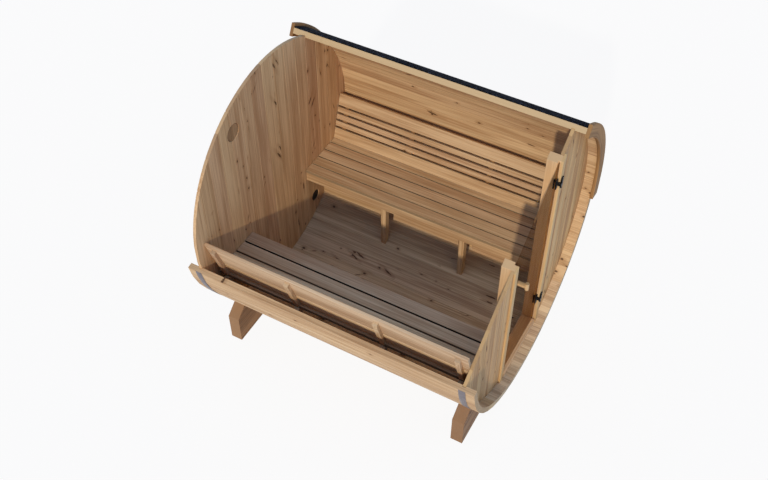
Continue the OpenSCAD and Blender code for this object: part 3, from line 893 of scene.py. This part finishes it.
class SAUNA_OT_roof(bpy.types.Operator):
    """Dresses the roof felt and the fascia boards"""

    bl_idname = "sauna.roof"
    bl_label = "Roof"

    def execute(self, context):
        dressed("roof_felt", felt_material(), "RING", sizes().felt_edge)
        for node in ("back_fascia", "front_fascia"):
            dressed(node, fascia_wood(), "RING", sizes().stave_edge)
        return {"FINISHED"}


class SAUNA_OT_hoops(bpy.types.Operator):
    """Dresses the steel hoops"""

    bl_idname = "sauna.hoops"
    bl_label = "Hoops"

    def execute(self, context):
        for node in ("back_hoop", "front_hoop"):
            dressed(node, hoop_steel(), "RING", sizes().metal_edge)
        return {"FINISHED"}


class SAUNA_OT_cradles(bpy.types.Operator):
    """Dresses the cradle beams"""

    bl_idname = "sauna.cradles"
    bl_label = "Cradles"

    def execute(self, context):
        for node in ("back_cradle", "front_cradle"):
            dressed(node, beam_wood(), "Y", sizes().beam_edge)
        return {"FINISHED"}


# Stage

CAMERA_PLACE = Vector((2.1888, -4.1678, 5.9827))
CAMERA_AZIMUTH = math.radians(28.8814)
CAMERA_ELEVATION = math.radians(47.9517)
CAMERA_LENS = 47.18
CAMERA_SENSOR = 36.0
SUN_AZIMUTH = math.radians(13.7)
SUN_ELEVATION = math.radians(28.2)
SUN_STRENGTH = 2.4
SUN_SPREAD = math.radians(2.0)
SUN_COLOUR = (1.0, 0.92, 0.74)
SKY_STRENGTH = 0.74
SKY_COLOUR = (0.50, 0.77, 1.22, 1)
FLOOR_REACH = 30.0
FLOOR_DROP = 0.0005
FLOOR_SHADOW = 0.06
FLOOR_WHITE = (0.978, 0.970, 0.964, 1)
WORLD_WHITE = (0.955, 0.955, 0.955, 1)


def towards(azimuth, elevation):
    """Direction out to a point round the object, where azimuth 0 is the near side, -Y."""
    return Vector((
        math.sin(azimuth) * math.cos(elevation), -math.cos(azimuth) * math.cos(elevation), math.sin(elevation),
    ))


def seen_directly(tree):
    """1 for rays from the camera, a reflection or through the glass, else 0."""
    path = tree.node("LightPath").outputs
    seen = tree.math("MAXIMUM", path["Is Camera Ray"], path["Is Glossy Ray"])
    return tree.math("MAXIMUM", seen, path["Is Transmission Ray"])


def floor_material():
    """Pale floor that looks white and keeps a light shadow."""
    material = bpy.data.materials.new("Studio floor")
    material.use_nodes = True
    tree = Tree(material.node_tree)
    tree.tree.nodes.clear()
    matt = tree.node("BsdfDiffuse")
    matt.inputs["Color"].default_value = opaque(finishes().floor)
    white = tree.node("Emission")
    white.inputs["Color"].default_value = FLOOR_WHITE
    shown = tree.node("MixShader")
    shown.inputs[0].default_value = FLOOR_SHADOW
    tree.join(white.outputs[0], shown.inputs[1])
    tree.join(matt.outputs[0], shown.inputs[2])
    both = tree.node("MixShader")
    tree.join(seen_directly(tree), both.inputs[0])
    tree.join(matt.outputs[0], both.inputs[1])
    tree.join(shown.outputs[0], both.inputs[2])
    tree.join(both.outputs[0], tree.node("OutputMaterial").inputs["Surface"])
    return material


def studio_world(scene):
    """Soft bluish light from all round, seen as white."""
    world = bpy.data.worlds.new("Studio")
    world.use_nodes = True
    scene.world = world
    tree = Tree(world.node_tree)
    tree.tree.nodes.clear()
    soft = tree.node("Background")
    soft.inputs["Strength"].default_value = SKY_STRENGTH
    soft.inputs["Color"].default_value = SKY_COLOUR
    white = tree.node("Background")
    white.inputs["Color"].default_value = WORLD_WHITE
    both = tree.node("MixShader")
    tree.join(seen_directly(tree), both.inputs[0])
    tree.join(soft.outputs[0], both.inputs[1])
    tree.join(white.outputs[0], both.inputs[2])
    tree.join(both.outputs[0], tree.node("OutputWorld").inputs["Surface"])


class SAUNA_OT_stage(bpy.types.Operator):
    """Sets up the pale floor, the lights and the camera"""

    bl_idname = "sauna.stage"
    bl_label = "Stage"

    def execute(self, context):
        scene = context.scene
        scene.view_settings.view_transform = "Standard"
        data = bpy.data.meshes.new("studio_floor")
        r = FLOOR_REACH
        data.from_pydata(
            [(-r, -r, -FLOOR_DROP), (r, -r, -FLOOR_DROP), (r, r, -FLOOR_DROP), (-r, r, -FLOOR_DROP)], [],
            [(0, 1, 2, 3)],
        )
        data.materials.append(floor_material())
        floor = bpy.data.objects.new("studio_floor", data)
        scene.collection.objects.link(floor)
        studio_world(scene)

        sun = bpy.data.lights.new("key", "SUN")
        sun.energy = SUN_STRENGTH
        sun.angle = SUN_SPREAD
        sun.color = SUN_COLOUR
        lamp = bpy.data.objects.new("key", sun)
        lamp.rotation_mode = "QUATERNION"
        lamp.rotation_quaternion = towards(SUN_AZIMUTH, SUN_ELEVATION).to_track_quat("Z", "Y")
        scene.collection.objects.link(lamp)

        lens = bpy.data.cameras.new("camera")
        lens.sensor_fit = "HORIZONTAL"
        lens.sensor_width = CAMERA_SENSOR
        lens.lens = CAMERA_LENS
        camera = bpy.data.objects.new("camera", lens)
        camera.location = CAMERA_PLACE
        camera.rotation_mode = "QUATERNION"
        camera.rotation_quaternion = towards(CAMERA_AZIMUTH, CAMERA_ELEVATION).to_track_quat("Z", "Y")
        scene.collection.objects.link(camera)
        scene.camera = camera
        return {"FINISHED"}


class SAUNA_PT_panel(bpy.types.Panel):
    """Lists the sauna's pieces and its sizes and colours"""

    bl_idname = "SAUNA_PT_panel"
    bl_label = "Barrel sauna"
    bl_space_type = "VIEW_3D"
    bl_region_type = "UI"
    bl_category = "Sauna"

    def draw(self, context):
        column = self.layout.column(align=True)
        for operator in OPERATORS:
            column.operator(operator.bl_idname)
        for group in (context.scene.sauna_sizes, context.scene.sauna_finishes):
            box = self.layout.box().column()
            for name in group.__annotations__:
                box.prop(group, name)


OPERATORS = (
    SAUNA_OT_staves, SAUNA_OT_walls, SAUNA_OT_doorway, SAUNA_OT_door, SAUNA_OT_benches, SAUNA_OT_backrests,
    SAUNA_OT_roof, SAUNA_OT_hoops, SAUNA_OT_cradles, SAUNA_OT_stage,
)
CLASSES = (SaunaSizes, SaunaFinishes, *OPERATORS, SAUNA_PT_panel)


def register():
    """Registers the classes and hangs the sizes and finishes on the scene."""
    for cls in CLASSES:
        bpy.utils.register_class(cls)
    bpy.types.Scene.sauna_sizes = PointerProperty(type=SaunaSizes)
    bpy.types.Scene.sauna_finishes = PointerProperty(type=SaunaFinishes)


def unregister():
    """Takes the properties and classes away again."""
    del bpy.types.Scene.sauna_finishes
    del bpy.types.Scene.sauna_sizes
    for cls in reversed(CLASSES):
        bpy.utils.unregister_class(cls)


def main():
    """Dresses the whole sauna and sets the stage."""
    register()
    bpy.ops.sauna.staves()
    bpy.ops.sauna.walls()
    bpy.ops.sauna.doorway()
    bpy.ops.sauna.door()
    bpy.ops.sauna.benches()
    bpy.ops.sauna.backrests()
    bpy.ops.sauna.roof()
    bpy.ops.sauna.hoops()
    bpy.ops.sauna.cradles()
    bpy.ops.sauna.stage()


if __name__ == "__main__":
    main()
